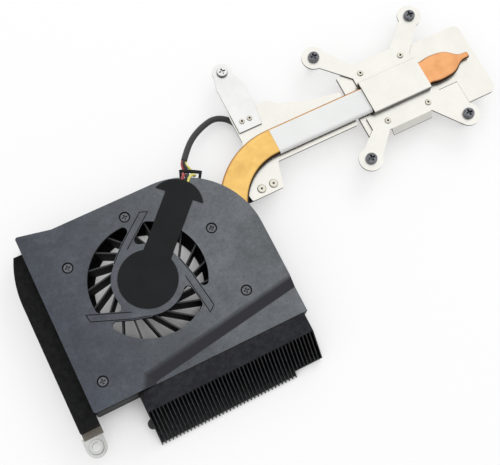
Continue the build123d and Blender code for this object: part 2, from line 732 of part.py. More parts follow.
# Each blade is an upright band from inside the hub wall to the swept tip.
blade_tip = Vector(IMPELLER_R - BLADE_T / 2, 0).rotate(Axis.Z, BLADE_SWEEP)
with BuildLine() as blade_line:
    Line((hub_outer - HUB_WALL / 2, 0), (blade_tip.X, blade_tip.Y))
with BuildSketch() as blade:
    trace(blade_line.line, line_width=BLADE_T)
with BuildPart() as impeller:
    with BuildSketch(fan.offset(blade_bottom)):
        with PolarLocations(0, BLADES):
            add(blade.sketch)
    extrude(amount=blade_top - blade_bottom)
    with BuildSketch(fan.offset(hub_bottom)):
        Circle(hub_outer)
        Circle(SHAFT_D / 2 + HUB_WALL, mode=Mode.SUBTRACT)
    extrude(amount=rotor_top - hub_bottom)
    with BuildSketch(fan.offset(cup_bottom)):
        Circle(hub_inner)
    extrude(amount=rotor_top - cup_bottom, mode=Mode.SUBTRACT)
impeller.part.label = "impeller"

# Heat pipe: a stadium section swept along the plan, and a nose that narrows to a pinched tip.
with BuildPart() as heat_pipe:
    with BuildLine(Plane.XY.offset(pipe_z)) as pipe_run:
        FilletPolyline(*pipe_corners, radius=[PIPE_BEND_R, FIN_BEND_R])
    with BuildSketch(Plane((NOSE_START, PIPE_Y, pipe_z), x_dir=(0, 1, 0), z_dir=(-1, 0, 0))):
        SlotOverall(PIPE_W, PIPE_T)
    sweep(path=pipe_run.line)
    nose = [
        (0.0, PIPE_W, PIPE_T),
        (0.15, NOSE_BULGE_W, PIPE_T),
        (0.4, NOSE_BULGE_W, PIPE_T),
        (0.53, 0.92 * NOSE_BULGE_W, 0.95 * PIPE_T),
        (0.65, 0.72 * NOSE_BULGE_W, 0.85 * PIPE_T),
        (0.76, 0.42 * NOSE_BULGE_W, 0.72 * PIPE_T),
        (0.85, 1.25 * NOSE_TIP_W, 1.1 * NOSE_TIP_T),
        (1.0, NOSE_TIP_W, NOSE_TIP_T),
    ]
    for share, width, thickness in nose:
        with BuildSketch(Plane.YZ.offset(NOSE_START + NOSE_LENGTH * share)):
            with Locations((PIPE_Y, pipe_bottom + thickness / 2 + NOSE_RISE * share)):
                SlotOverall(width, thickness)
    loft()
heat_pipe.part.label = "heat_pipe"

# Bare label on the pipe, wrapped over its near side.
with BuildPart() as pipe_label:
    with BuildSketch(Plane.YZ.offset(label_left)):
        with Locations((PIPE_Y, pipe_z)):
            SlotOverall(PIPE_W + 2 * LABEL_T, PIPE_T + 2 * LABEL_T)
            SlotOverall(PIPE_W, PIPE_T, mode=Mode.SUBTRACT)
        with Locations((PIPE_Y + LABEL_FAR, pipe_z)):
            Rectangle(2 * PIPE_W, PIPE_T, align=(Align.MAX, Align.MIN), mode=Mode.INTERSECT)
    extrude(amount=label_right - label_left)
pipe_label.part.label = "pipe_label"

# Fin stack: upright fins with a level seat for the pipe and a sloped front, joined by flange sheets.
fin_bottom = table_z + FIN_LIFT
seat_y = FAN_Y + fin_seat_front
inner_y = FAN_Y + FAN_FRONT - FIN_LIP
stack_left = FAN_X + FIN_LEFT
stack_right = FAN_X + fin_right
stack_length = stack_right - stack_left
bend_y = pipe_run_y + FIN_BEND_R
bend_reach = FIN_BEND_R + PIPE_W / 2 + FOAM_GAP
pipe_clear_x = pipe_cross_x - FIN_BEND_R + sqrt(bend_reach**2 - (bend_y - inner_y) ** 2) - FAN_X
plain_start = int((pipe_clear_x - FIN_LEFT) / fin_pitch) + 1
fin_corners = [
    (FAN_Y + FIN_REAR, floor_top + FIN_LIFT),
    (FAN_Y + FIN_REAR, pipe_bottom),
    (seat_y, pipe_bottom),
    (seat_y, FIN_TOP),
    (FAN_Y + FIN_FRONT, fin_bottom + FIN_NOSE),
    (FAN_Y + FIN_FRONT, fin_bottom),
    (inner_y, fin_bottom),
    (inner_y, floor_top + FIN_LIFT),
]
with BuildPart() as fin:
    with BuildSketch(Plane.YZ):
        with BuildLine():
            Polyline(*fin_corners, close=True)
        make_face()
    extrude(amount=FIN_T)
with BuildPart() as fin_block:
    with BuildSketch(Plane.YZ):
        with Locations((inner_y, pipe_bottom)):
            Rectangle(inner_y - seat_y, pipe_top - pipe_bottom, align=(Align.MAX, Align.MIN))
    extrude(amount=FIN_T)
with BuildPart() as fin_stack:
    with Locations(*[(stack_left + fin_pitch * index, 0, 0) for index in range(FIN_COUNT)]):
        add(fin.part)
    with Locations(*[(stack_left + fin_pitch * index, 0, 0) for index in range(plain_start, FIN_COUNT)]):
        add(fin_block.part)
    with BuildSketch(Plane.YZ.offset(stack_left)):
        with Locations((FAN_Y + FIN_REAR, pipe_bottom)):
            Rectangle(FIN_REAR - fin_seat_front, FIN_SHEET, align=(Align.MAX, Align.MAX))
        with Locations((inner_y, fin_bottom)):
            Rectangle(inner_y - FAN_Y - FIN_FRONT - FIN_NOSE, FIN_SHEET, align=(Align.MAX, Align.MIN))
    extrude(amount=stack_length)
    with BuildSketch(Plane.YZ.offset(stack_left + fin_pitch * plain_start)):
        with Locations((inner_y, pipe_top)):
            Rectangle(inner_y - seat_y, FIN_SHEET, align=(Align.MAX, Align.MAX))
    extrude(amount=stack_right - stack_left - fin_pitch * plain_start)
    with BuildSketch(Plane.XY.offset(LUG_Z)):
        with Locations((stack_left + FIN_T / 2, seat_y - 2 * LUG_R)):
            Circle(LUG_R)
        with Locations((stack_left + FIN_T / 2, seat_y - 2 * LUG_R)):
            Rectangle(2 * LUG_R, 3 * LUG_R, align=(Align.MIN, Align.CENTER), mode=Mode.SUBTRACT)
    extrude(amount=LUG_T)
    with BuildSketch(Plane.XY.offset(fin_bottom)):
        with Locations((FAN_X + FIN_NOTCH_X, FAN_Y + FIN_FRONT)):
            Rectangle(FAN_RIGHT, 2 * FIN_NOTCH_Y, align=(Align.MIN, Align.CENTER))
    extrude(amount=FIN_NOTCH_Z, mode=Mode.SUBTRACT)
fin_stack.part.label = "fin_stack"

# Foam seal on the pipe, between the cover's front edge and the raised fin tops.
with BuildPart() as fin_foam:
    with BuildSketch(Plane.XY.offset(pipe_top)):
        with BuildLine():
            Polyline(
                (stack_left + FIN_FOAM_LEAN, FAN_Y + FAN_FRONT - FOAM_GAP),
                (stack_right, FAN_Y + FAN_FRONT - FOAM_GAP),
                (stack_right, seat_y + FOAM_GAP / 4),
                (stack_left, seat_y + FOAM_GAP / 4),
                close=True,
            )
        make_face()
    extrude(amount=FIN_TOP - pipe_top)
fin_foam.part.label = "fin_foam"

# Support plate under the pipe.
with BuildPart() as support_plate:
    with BuildSketch(Plane.XY.offset(support_z)) as support_plan:
        with BuildLine():
            Polyline(
                (SUPPORT_RIGHT, SUPPORT_NEAR),
                (wing_right + WING_FLARE, SUPPORT_NEAR),
                (wing_right, wing_near),
                (wing_left, wing_near),
                (wing_left - WING_FLARE / 3, wing_near + WING_W / 2),
                (support_left, PIPE_Y + PIPE_W / 2),
                (support_left, SUPPORT_FAR),
                (support_left + 0.363 * support_length, SUPPORT_FAR),
                (support_left + 0.467 * support_length, 0.62 * SUPPORT_FAR + 0.38 * SUPPORT_RIGHT_FAR),
                (support_left + 0.7 * support_length, 0.24 * SUPPORT_FAR + 0.76 * SUPPORT_RIGHT_FAR),
                (SUPPORT_RIGHT, SUPPORT_RIGHT_FAR),
                close=True,
            )
        make_face()
        fillet(support_plan.vertices(), SUPPORT_CORNER)
    extrude(amount=SUPPORT_T)
    with BuildSketch(Plane.XY.offset(support_z)):
        with Locations((wing_rivet_x, wing_rivet_y)):
            with GridLocations(WING_RIVET_SPAN, 0, 2, 1):
                Circle(RIVET_SHANK_D / 2)
        with Locations((ear_rivet_x, EAR_RIVET_Y)):
            with GridLocations(EAR_RIVET_SPAN, 0, 2, 1):
                Circle(RIVET_SHANK_D / 2)
    extrude(amount=SUPPORT_T, mode=Mode.SUBTRACT)
support_plate.part.label = "support_plate"

# Ear bracket on the support plate, with its own captive screw.
with BuildPart() as ear_bracket:
    with BuildSketch(Plane.XY.offset(pipe_bottom)) as ear_plan:
        with BuildLine():
            Polyline(
                (bracket_left, BRACKET_NEAR),
                (bracket_left + BRACKET_W, BRACKET_NEAR),
                (bracket_left + BRACKET_ELBOW_W, 0.55 * BRACKET_NEAR + 0.45 * EAR_Y),
                (bracket_left + BRACKET_ELBOW_W, 0.33 * BRACKET_NEAR + 0.67 * EAR_Y),
                (ear_centre_x + BRACKET_EAR_R * cos(radians(-25)), EAR_Y + BRACKET_EAR_R * sin(radians(-25))),
                (ear_centre_x, EAR_Y),
                (ear_centre_x + BRACKET_EAR_R * cos(radians(190)), EAR_Y + BRACKET_EAR_R * sin(radians(190))),
                (bracket_left, EAR_Y - 1.55 * BRACKET_EAR_R),
                close=True,
            )
        make_face()
        with Locations((ear_centre_x, EAR_Y)):
            Circle(BRACKET_EAR_R)
    extrude(amount=BRACKET_T)
    with BuildSketch(Plane.XY.offset(pipe_bottom)):
        with Locations((ear_rivet_x, EAR_RIVET_Y)):
            with GridLocations(EAR_RIVET_SPAN, 0, 2, 1):
                Circle(RIVET_SHANK_D / 2)
        with Locations((ear_centre_x, EAR_Y)):
            Circle(EAR_SCREW_THREAD_D / 2 + HOLE_CLEARANCE)
    extrude(amount=BRACKET_T, mode=Mode.SUBTRACT)
ear_bracket.part.label = "ear_bracket"

ear_rivet = rivet(EAR_RIVET_HEAD_D, RIVET_SHANK_D, RIVET_BORE_D, bracket_top, support_z)
with BuildPart() as ear_rivets:
    with Locations((ear_rivet_x, EAR_RIVET_Y)):
        with GridLocations(EAR_RIVET_SPAN, 0, 2, 1):
            add(ear_rivet)
ear_rivets.part.label = "ear_rivets"

wing_rivet = rivet(WING_RIVET_HEAD_D, RIVET_SHANK_D, RIVET_BORE_D, pipe_bottom, support_z - WALL)
with BuildPart() as wing_rivets:
    with Locations((wing_rivet_x, wing_rivet_y)):
        with GridLocations(WING_RIVET_SPAN, 0, 2, 1):
            add(wing_rivet)
wing_rivets.part.label = "wing_rivets"

ear_screw_body = cross_head_screw(
    EAR_SCREW_HEAD_D, EAR_SCREW_HEAD_H, EAR_SCREW_THREAD_D, bracket_top, table_z, neck_bottom
)
with BuildPart() as ear_screw:
    with Locations((ear_centre_x, EAR_Y)):
        add(ear_screw_body)
ear_screw.part.label = "ear_screw"

# Base plate, notched beside the clamp plate's near web, with the contact pad under it.
with BuildPart() as base_plate:
    with BuildSketch(Plane.XY.offset(base_z)) as base_plan:
        with BuildLine():
            Polyline(
                (BASE_LEFT, BASE_NEAR),
                (WEB_LEFT + NOTCH_GAP, BASE_NEAR),
                (WEB_LEFT + NOTCH_GAP, WEB_FAR + NOTCH_GAP),
                (WEB_RIGHT + NOTCH_GAP, WEB_FAR + NOTCH_GAP),
                (WEB_RIGHT + NOTCH_GAP, TONGUE_NEAR),
                (BASE_RIGHT, TONGUE_NEAR),
                (BASE_RIGHT, BASE_FAR),
                (BASE_LEFT, BASE_FAR),
                close=True,
            )
        make_face()
        fillet(base_plan.vertices().group_by(Axis.X)[-1], BASE_CORNER)
        fillet(base_plan.vertices().group_by(Axis.X)[0], BASE_CORNER / 3)
    extrude(amount=BASE_T)
    with BuildSketch(Plane.XY.offset(base_z)):
        with Locations(*clamp_rivet_spots):
            Circle(RIVET_SHANK_D / 2)
    extrude(amount=BASE_T, mode=Mode.SUBTRACT)
base_plate.part.label = "base_plate"

with BuildPart() as contact_pad:
    with BuildSketch():
        RectangleRounded(PAD_SIZE, PAD_SIZE, PAD_CORNER)
    extrude(amount=PAD_T)
    chamfer(contact_pad.edges().group_by(Axis.Z)[0], PAD_CHAMFER)
contact_pad.part.label = "contact_pad"

# Clamp plate: flanges, arms to the captive screws, and the raised channel over the pipe.
ear_x = SCREW_SPAN_X / 2
ear_y = SCREW_SPAN_Y / 2
with BuildPart() as clamp_plate:
    with BuildSketch(Plane.XY.offset(pipe_bottom)) as clamp_plan:
        with BuildLine():
            Polyline(
                (FLANGE_LEFT, HAT_NEAR),
                (FLANGE_LEFT, FLANGE_NEAR + FLANGE_NOTCH),
                (-ear_x - 0.1 * EAR_R, -ear_y + 0.95 * EAR_R),
                (-ear_x + 0.95 * EAR_R, -ear_y - 0.2 * EAR_R),
                (NEAR_ROOT_X, FLANGE_NEAR),
                (LIP_RIGHT + CLAMP_T, FLANGE_NEAR),
                (ear_x - 0.67 * NEAR_RIGHT_ARM_W, -ear_y - 0.35 * NEAR_RIGHT_ARM_W),
                (WEB_RIGHT, -ear_y),
                (WEB_RIGHT, WEB_FAR),
                (WEB_LEFT, WEB_FAR),
                (HAT_RIGHT, HAT_NEAR),
                (HAT_RIGHT, HAT_FAR),
                (HAT_RIGHT, HAT_FAR + FAR_ROOT_RISE),
                (ear_x + 0.6 * FAR_RIGHT_ARM_W, ear_y - 0.3 * FAR_RIGHT_ARM_W),
                (ear_x - 0.5 * FAR_RIGHT_ARM_W, ear_y + 0.3 * FAR_RIGHT_ARM_W),
                (FAR_ROOT_X, FLANGE_FAR),
                (NEAR_ROOT_X, FLANGE_FAR),
                (-ear_x + 0.5 * FAR_LEFT_ARM_W, ear_y + 0.5 * FAR_LEFT_ARM_W),
                (-ear_x - 0.3 * FAR_LEFT_ARM_W, ear_y - 0.5 * FAR_LEFT_ARM_W),
                (HAT_LEFT, HAT_FAR + FAR_ROOT_RISE),
                (HAT_LEFT, HAT_NEAR),
                close=True,
            )
        make_face()
        with GridLocations(SCREW_SPAN_X, SCREW_SPAN_Y, 2, 2):
            Circle(EAR_R)
    extrude(amount=CLAMP_T)
    with BuildSketch(Plane.YZ.offset(LIP_LEFT)):
        with BuildLine():
            Polyline(
                (FLANGE_NEAR, pipe_bottom),
                (FLANGE_NEAR, flange_top),
                (FLANGE_NEAR - LIP_REACH, flange_top - LIP_DROP),
                (FLANGE_NEAR - LIP_REACH, pipe_bottom - LIP_DROP),
                close=True,
            )
        make_face()
    extrude(amount=LIP_RIGHT - LIP_LEFT)
    with BuildSketch(Plane.YZ.offset(HAT_LEFT)) as hat_section:
        with Locations(((HAT_NEAR + HAT_FAR) / 2, pipe_bottom)):
            Rectangle(HAT_FAR - HAT_NEAR, hat_top - pipe_bottom, align=(Align.CENTER, Align.MIN))
        fillet(hat_section.vertices().group_by(Axis.Z)[-1], HAT_BEND)
    extrude(amount=HAT_RIGHT - HAT_LEFT)
    with BuildSketch(Plane.YZ.offset(HAT_LEFT - CLAMP_T)) as hat_inside:
        with Locations(((HAT_NEAR + HAT_FAR) / 2, pipe_bottom)):
            Rectangle(HAT_FAR - HAT_NEAR - 2 * CLAMP_T, PIPE_T, align=(Align.CENTER, Align.MIN))
        fillet(hat_inside.vertices().group_by(Axis.Z)[-1], HAT_BEND / 3)
    extrude(amount=HAT_RIGHT - HAT_LEFT + 2 * CLAMP_T, mode=Mode.SUBTRACT)
    with BuildSketch(Plane.XY.offset(pipe_bottom)):
        with GridLocations(SCREW_SPAN_X, SCREW_SPAN_Y, 2, 2):
            Circle(SCREW_THREAD_D / 2 + HOLE_CLEARANCE)
        with Locations(*clamp_rivet_spots):
            Circle(RIVET_SHANK_D / 2)
    extrude(amount=CLAMP_T, mode=Mode.SUBTRACT)
clamp_plate.part.label = "clamp_plate"

clamp_rivet = rivet(RIVET_HEAD_D, RIVET_SHANK_D, RIVET_BORE_D, flange_top, base_z)
with BuildPart() as clamp_rivets:
    with Locations(*clamp_rivet_spots):
        add(clamp_rivet)
clamp_rivets.part.label = "clamp_rivets"

captive_screw = cross_head_screw(SCREW_HEAD_D, SCREW_HEAD_H, SCREW_THREAD_D, flange_top, table_z, neck_bottom)
with BuildPart() as captive_screws:
    with GridLocations(SCREW_SPAN_X, SCREW_SPAN_Y, 2, 2):
        add(captive_screw)
captive_screws.part.label = "captive_screws"

# Push-on rings that hold the screws in the ears.
with BuildPart() as screw_clips:
    with BuildSketch(Plane.XY.offset(pipe_bottom - CLIP_T)):
        with GridLocations(SCREW_SPAN_X, SCREW_SPAN_Y, 2, 2):
            Circle(CLIP_D / 2)
            Circle(NECK_SHARE * SCREW_THREAD_D / 2, mode=Mode.SUBTRACT)
        with Locations((ear_centre_x, EAR_Y)):
            Circle(CLIP_D / 2)
            Circle(NECK_SHARE * EAR_SCREW_THREAD_D / 2, mode=Mode.SUBTRACT)
    extrude(amount=CLIP_T)
screw_clips.part.label = "screw_clips"

# Side bracket: an upright flange screwed to the housing, a level leaf under the foam, and a screw tab.
side_right = FAN_X + FAN_LEFT
side_left = side_right - SIDE_W
side_top = SIDE_Z + SIDE_T
tab_x = side_left + TAB_R - TAB_OUT
with BuildSketch() as side_plan:
    with BuildLine():
        Polyline(
            (side_left, FAN_Y + SIDE_CURVE_START),
            (side_left, FAN_Y + SIDE_FRONT),
            (side_right, FAN_Y + SIDE_FRONT),
            (side_right, FAN_Y + SIDE_BACK),
            (side_left + SIDE_CURVE_INSET, FAN_Y + SIDE_BACK),
        )
        ThreePointArc(
            (side_left + SIDE_CURVE_INSET, FAN_Y + SIDE_BACK),
            (side_left + 0.24 * SIDE_CURVE_INSET, FAN_Y + (SIDE_BACK + SIDE_CURVE_START) / 2),
            (side_left, FAN_Y + SIDE_CURVE_START),
        )
    make_face()
with BuildPart() as side_bracket:
    with BuildSketch(Plane.XY.offset(SIDE_Z)):
        add(side_plan.sketch)
        with Locations((tab_x, FAN_Y + TAB_Y)):
            Circle(TAB_R)
            Rectangle(2 * TAB_R, SIDE_FRONT - TAB_Y + TAB_OVERLAP, align=(Align.CENTER, Align.MIN))
    extrude(amount=SIDE_T)
    with BuildSketch(Plane.XY.offset(SIDE_Z - SIDE_FLANGE_DROP)):
        with Locations((side_right, FAN_Y)):
            Rectangle(SIDE_T, SIDE_FLANGE_L, align=(Align.MAX, Align.CENTER))
    extrude(amount=SIDE_FLANGE_DROP)
    with BuildSketch(Plane.XY.offset(side_top)):
        with Locations((tab_x, FAN_Y + TAB_Y)):
            Circle(TAB_COLLAR_D / 2)
    extrude(amount=TAB_COLLAR_H)
    with BuildSketch(Plane.XY.offset(SIDE_Z)):
        with Locations((tab_x, FAN_Y + TAB_Y)):
            Circle(TAB_HOLE_D / 2)
    extrude(amount=SIDE_T + TAB_COLLAR_H, mode=Mode.SUBTRACT)
    with BuildSketch(Plane.YZ.offset(side_right - SIDE_T)):
        with Locations((FAN_Y + SIDE_SCREW_Y, side_screw_z), (FAN_Y - SIDE_SCREW_Y, side_screw_z)):
            Circle(SIDE_SCREW_D / 2 + HOLE_CLEARANCE)
    extrude(amount=SIDE_T, mode=Mode.SUBTRACT)
side_bracket.part.label = "side_bracket"

side_screw = cross_head_screw(
    SIDE_SCREW_HEAD_D, SIDE_SCREW_HEAD_H, SIDE_SCREW_D, SIDE_T, HOLE_CLEARANCE - SIDE_SCREW_LENGTH, 0.0
)
with BuildPart() as bracket_screws:
    with Locations(
        Location((side_right, FAN_Y + SIDE_SCREW_Y, side_screw_z), (0, -90, 0)),
        Location((side_right, FAN_Y - SIDE_SCREW_Y, side_screw_z), (0, -90, 0)),
    ):
        add(side_screw)
bracket_screws.part.label = "bracket_screws"

with BuildPart() as foam_liner:
    with BuildSketch(Plane.XY.offset(side_top)):
        add(side_plan.sketch)
    extrude(amount=LINER_T)
foam_liner.part.label = "foam_liner"

with BuildPart() as side_foam:
    with BuildSketch(Plane.XY.offset(side_top + LINER_T)):
        add(side_plan.sketch)
        with Locations((side_left, FAN_Y + SIDE_FRONT)):
            Rectangle(SIDE_W, SIDE_FOAM_FRONT - SIDE_FRONT, align=(Align.MIN, Align.MIN), mode=Mode.SUBTRACT)
    extrude(amount=SIDE_FOAM_TOP - side_top - LINER_T)
side_foam.part.label = "side_foam"

# Fan cable: wires from the motor board to the sleeve's mouth, then the sleeve and its plug.
along = Vector(cos(radians(WIRE_ANGLE)), sin(radians(WIRE_ANGLE)), 0)
across = Vector(-along.Y, along.X, 0)
wire_z = cover_top - WIRE_CHANNEL_DEPTH + WIRE_D / 2 + WIRE_CLEARANCE
sleeve_points = [(FAN_X + x, FAN_Y + y, z) for x, y, z in SLEEVE_ROUTE]
sleeve_start = Vector(sleeve_points[0])
sleeve_dir = (Vector(sleeve_points[1]) - sleeve_start).normalized()
sleeve_side = Vector(0, 0, 1).cross(sleeve_dir).normalized()
sleeve_up = sleeve_dir.cross(sleeve_side)


def wire_route(lane, turn, aside, above):
    """From the board, along the channel, over the cover's edge, under the guide and to the sleeve's mouth."""
    points = [(TUBE_D / 2 + 2 * WALL, lane, wire_z - cover_under - WIRE_D / 2)]
    points += [(wire_slot_end - 2 * WALL, lane, 0.0)]
    points += turn
    route = []
    for run, shift, drop in points:
        route.append(Vector(FAN_X, FAN_Y, wire_z - drop) + along * run + across * shift)
    mouth = sleeve_start + sleeve_side * aside + sleeve_up * above
    route.append(mouth - sleeve_dir * WIRE_LEAD)
    route.append(mouth)
    return [tuple(point) for point in route]


wire_aside = WIRE_D / 2 + WIRE_CLEARANCE
red_wire = tube(wire_route(WIRE_SPACING, RED_TURN, wire_aside, -bundle_r / 2), WIRE_D)
red_wire.label = "red_wire"
black_wire = tube(wire_route(0.0, BLACK_TURN, 0.0, bundle_r), WIRE_D)
black_wire.label = "black_wire"
yellow_wire = tube(wire_route(-WIRE_SPACING, YELLOW_TURN, -wire_aside, -bundle_r / 2), WIRE_D)
yellow_wire.label = "yellow_wire"
cable_sleeve = tube(sleeve_points, SLEEVE_OUTER_D)
cable_sleeve.label = "cable_sleeve"
print("sleeve bend radii", [round(value, 1) for value in bend_radii(sleeve_points)])

plug_x, plug_y, plug_z = sleeve_points[-1]
with BuildPart() as cable_plug:
    with BuildSketch(Plane.XY.offset(plug_z - PLUG_H / 2)):
        with Locations((plug_x, plug_y)):
            Rectangle(PLUG_W, PLUG_L, align=(Align.CENTER, Align.MAX))
    extrude(amount=PLUG_H)
    chamfer(cable_plug.edges().filter_by(Axis.Z), PLUG_CHAMFER)
    with BuildSketch(Plane.XZ.offset(PLUG_L - plug_y)):
        with Locations((plug_x, plug_z)):
            with GridLocations(PLUG_PITCH, 0, 3, 1):
                Rectangle(PLUG_SLOT_W, PLUG_SLOT_H)
    extrude(amount=-PLUG_SLOT_DEPTH, mode=Mode.SUBTRACT)
cable_plug.part.label = "cable_plug"

os.makedirs("parts", exist_ok=True)
export_step(top_cover.part, "parts/top_cover.step")
export_step(lower_housing.part, "parts/lower_housing.step")
export_step(cover_screws.part, "parts/cover_screws.step")
export_step(hub_tape.part, "parts/hub_tape.step")
export_step(impeller.part, "parts/impeller.step")
export_step(rotor_cup.part, "parts/rotor_cup.step")
export_step(rotor_magnet.part, "parts/rotor_magnet.step")
export_step(motor_shaft.part, "parts/motor_shaft.step")
export_step(shaft_clip.part, "parts/shaft_clip.step")
export_step(bearing_sleeve.part, "parts/bearing_sleeve.step")
export_step(stator_core.part, "parts/stator_core.step")
export_step(stator_coils.part, "parts/stator_coils.step")
export_step(motor_board.part, "parts/motor_board.step")
export_step(heat_pipe.part, "parts/heat_pipe.step")
export_step(pipe_label.part, "parts/pipe_label.step")
export_step(fin_stack.part, "parts/fin_stack.step")
export_step(fin_foam.part, "parts/fin_foam.step")
export_step(support_plate.part, "parts/support_plate.step")
export_step(ear_bracket.part, "parts/ear_bracket.step")
export_step(ear_rivets.part, "parts/ear_rivets.step")
export_step(wing_rivets.part, "parts/wing_rivets.step")
export_step(ear_screw.part, "parts/ear_screw.step")
export_step(base_plate.part, "parts/base_plate.step")
export_step(contact_pad.part, "parts/contact_pad.step")
export_step(clamp_plate.part, "parts/clamp_plate.step")
export_step(clamp_rivets.part, "parts/clamp_rivets.step")
export_step(captive_screws.part, "parts/captive_screws.step")
export_step(screw_clips.part, "parts/screw_clips.step")
export_step(side_bracket.part, "parts/side_bracket.step")
export_step(bracket_screws.part, "parts/bracket_screws.step")
export_step(foam_liner.part, "parts/foam_liner.step")
export_step(side_foam.part, "parts/side_foam.step")
export_step(red_wire, "parts/red_wire.step")
export_step(black_wire, "parts/black_wire.step")
export_step(yellow_wire, "parts/yellow_wire.step")
export_step(cable_sleeve, "parts/cable_sleeve.step")
export_step(cable_plug.part, "parts/cable_plug.step")
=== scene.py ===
from math import cos, radians, sin

import bpy
from mathutils import Matrix, Vector


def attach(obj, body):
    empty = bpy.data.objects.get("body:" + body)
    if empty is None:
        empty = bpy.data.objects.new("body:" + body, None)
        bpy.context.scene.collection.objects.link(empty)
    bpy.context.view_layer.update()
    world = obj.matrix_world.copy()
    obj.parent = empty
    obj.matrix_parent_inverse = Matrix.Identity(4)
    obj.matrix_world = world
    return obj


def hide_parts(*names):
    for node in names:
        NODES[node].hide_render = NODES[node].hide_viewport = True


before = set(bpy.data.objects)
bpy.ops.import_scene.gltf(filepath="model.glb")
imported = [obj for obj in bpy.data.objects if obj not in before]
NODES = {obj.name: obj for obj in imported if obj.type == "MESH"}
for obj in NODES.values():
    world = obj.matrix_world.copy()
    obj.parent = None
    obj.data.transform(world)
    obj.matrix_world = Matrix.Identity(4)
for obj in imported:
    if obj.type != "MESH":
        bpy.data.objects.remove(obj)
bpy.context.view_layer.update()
MM = 0.001
WHITE = (1.0, 1.0, 1.0)
EVEN = (1.0, 1.0, 1.0)

# Places on the part that colours follow: the ends of the cover's painted sheen, the step under
# its painted shade, and the ends of the pipe's change of tone.
COVER_LEFT, COVER_RIGHT = -170.0 * MM, -80.0 * MM
COVER_TOP, STEP_DROP = 10.5 * MM, 2.4 * MM
PIPE_GOLD_END, PIPE_PINK_START = -50.0 * MM, 12.0 * MM

# Textures that several materials share.
SPARK = {"scale": 2600.0, "detail": 4.0, "rough": 0.7}
SPARK_BUMP = {"strength": 0.22, "depth": 0.06 * MM}
SCUFF_DEPTH = 0.04 * MM
WAVE_BAND = 0.314  # width of one band of the wave texture at a scale of 1


# Node helpers.
def new_material(name, base, rough, metal=0.0, spec=0.5):
    m = bpy.data.materials.new(name)
    m.use_nodes = True
    m.diffuse_color = (*base, 1.0)
    bsdf = m.node_tree.nodes["Principled BSDF"]
    bsdf.inputs["Base Color"].default_value = (*base, 1.0)
    bsdf.inputs["Roughness"].default_value = rough
    bsdf.inputs["Metallic"].default_value = metal
    bsdf.inputs["Specular IOR Level"].default_value = spec
    return m, m.node_tree, bsdf


def node(nt, kind, **values):
    """A new node, with each value set on the input or the property of that name."""
    n = nt.nodes.new(kind)
    for key, value in values.items():
        if key in n.inputs:
            n.inputs[key].default_value = value
        else:
            setattr(n, key, value)
    return n


def feed(nt, sockets, values):
    """Links each socket to its value where that is another socket, and sets it otherwise."""
    for socket, value in zip(sockets, values):
        if isinstance(value, bpy.types.NodeSocket):
            nt.links.new(value, socket)
        elif isinstance(value, tuple):
            socket.default_value = (*value, 1.0)
        else:
            socket.default_value = value


def mix(nt, fac, a, b, blend="MIX"):
    n = node(nt, "ShaderNodeMix", data_type="RGBA", blend_type=blend)
    feed(nt, [s for s in n.inputs if s.enabled], (fac, a, b))
    return [s for s in n.outputs if s.enabled][0]


def times(nt, a, b):
    return mix(nt, 1.0, a, b, "MULTIPLY")


def calc(nt, operation, *values):
    n = node(nt, "ShaderNodeMath", operation=operation)
    feed(nt, n.inputs, values)
    return n.outputs["Value"]


def map_range(nt, value, low, high):
    """0 at the low value and 1 at the high one."""
    n = node(nt, "ShaderNodeMapRange")
    feed(nt, [n.inputs[key] for key in ("Value", "From Min", "From Max")], (value, low, high))
    return n.outputs["Result"]


def grey(value):
    return (value,) * 3


def shade(colour, factor):
    return tuple(min(1.0, v * factor) for v in colour)


def ramp(nt, fac, *stops):
    n = node(nt, "ShaderNodeValToRGB")
    elements = n.color_ramp.elements
    while len(elements) < len(stops):
        elements.new(0.5)
    for element, (at, colour) in zip(elements, stops):
        element.position = at
        element.color = (*colour, 1.0)
    nt.links.new(fac, n.inputs["Fac"])
    return n.outputs["Color"]


def spread(nt, noise_value, low, high):
    """From one colour to the other over the usual span of a noise."""
    return ramp(nt, noise_value, (0.3, low), (0.7, high))


def coords(nt, scale=EVEN, rotation=(0.0, 0.0, 0.0)):
    tc = node(nt, "ShaderNodeTexCoord")
    mp = node(nt, "ShaderNodeMapping", Scale=scale, Rotation=rotation)
    nt.links.new(tc.outputs["Object"], mp.inputs["Vector"])
    return mp.outputs["Vector"]


def noise(nt, vector, scale, detail=3.0, rough=0.55):
    n = node(nt, "ShaderNodeTexNoise", Scale=scale, Detail=detail, Roughness=rough)
    nt.links.new(vector, n.inputs["Vector"])
    return n.outputs["Fac"]


def bump(nt, bsdf, height, strength, depth):
    n = node(nt, "ShaderNodeBump", Strength=strength, Distance=depth)
    nt.links.new(height, n.inputs["Height"])
    nt.links.new(n.outputs["Normal"], bsdf.inputs["Normal"])


def component(nt, vector, axis):
    n = node(nt, "ShaderNodeSeparateXYZ")
    nt.links.new(vector, n.inputs["Vector"])
    return n.outputs[axis]


def place(nt, axis):
    """The object's own X, Y or Z, in metres."""
    return component(nt, node(nt, "ShaderNodeTexCoord").outputs["Object"], axis)


def facing(nt, axis, edge=0.0):
    """The X, Y or Z of the surface's normal, rounded over along edges by the given radius."""
    if edge:
        source = node(nt, "ShaderNodeBevel", samples=8, Radius=edge)
    else:
        source = node(nt, "ShaderNodeNewGeometry")
    return component(nt, source.outputs["Normal"], axis)


def steepness(nt, level, steep, edge=0.0):
    """0 on level faces and 1 on upright ones, between the two heights of the normal."""
    return map_range(nt, calc(nt, "ABSOLUTE", facing(nt, "Z", edge)), level, steep)


def painted_hollow_shade(nt, reach, dark, shut=0.35, clear=0.85):
    """Painted shade: grey that falls to the dark value in grooves and recesses narrower than
    the reach.
    """
    n = node(nt, "ShaderNodeAmbientOcclusion", samples=8, Distance=reach)
    return ramp(nt, n.outputs["AO"], (shut, grey(dark)), (clear, WHITE))


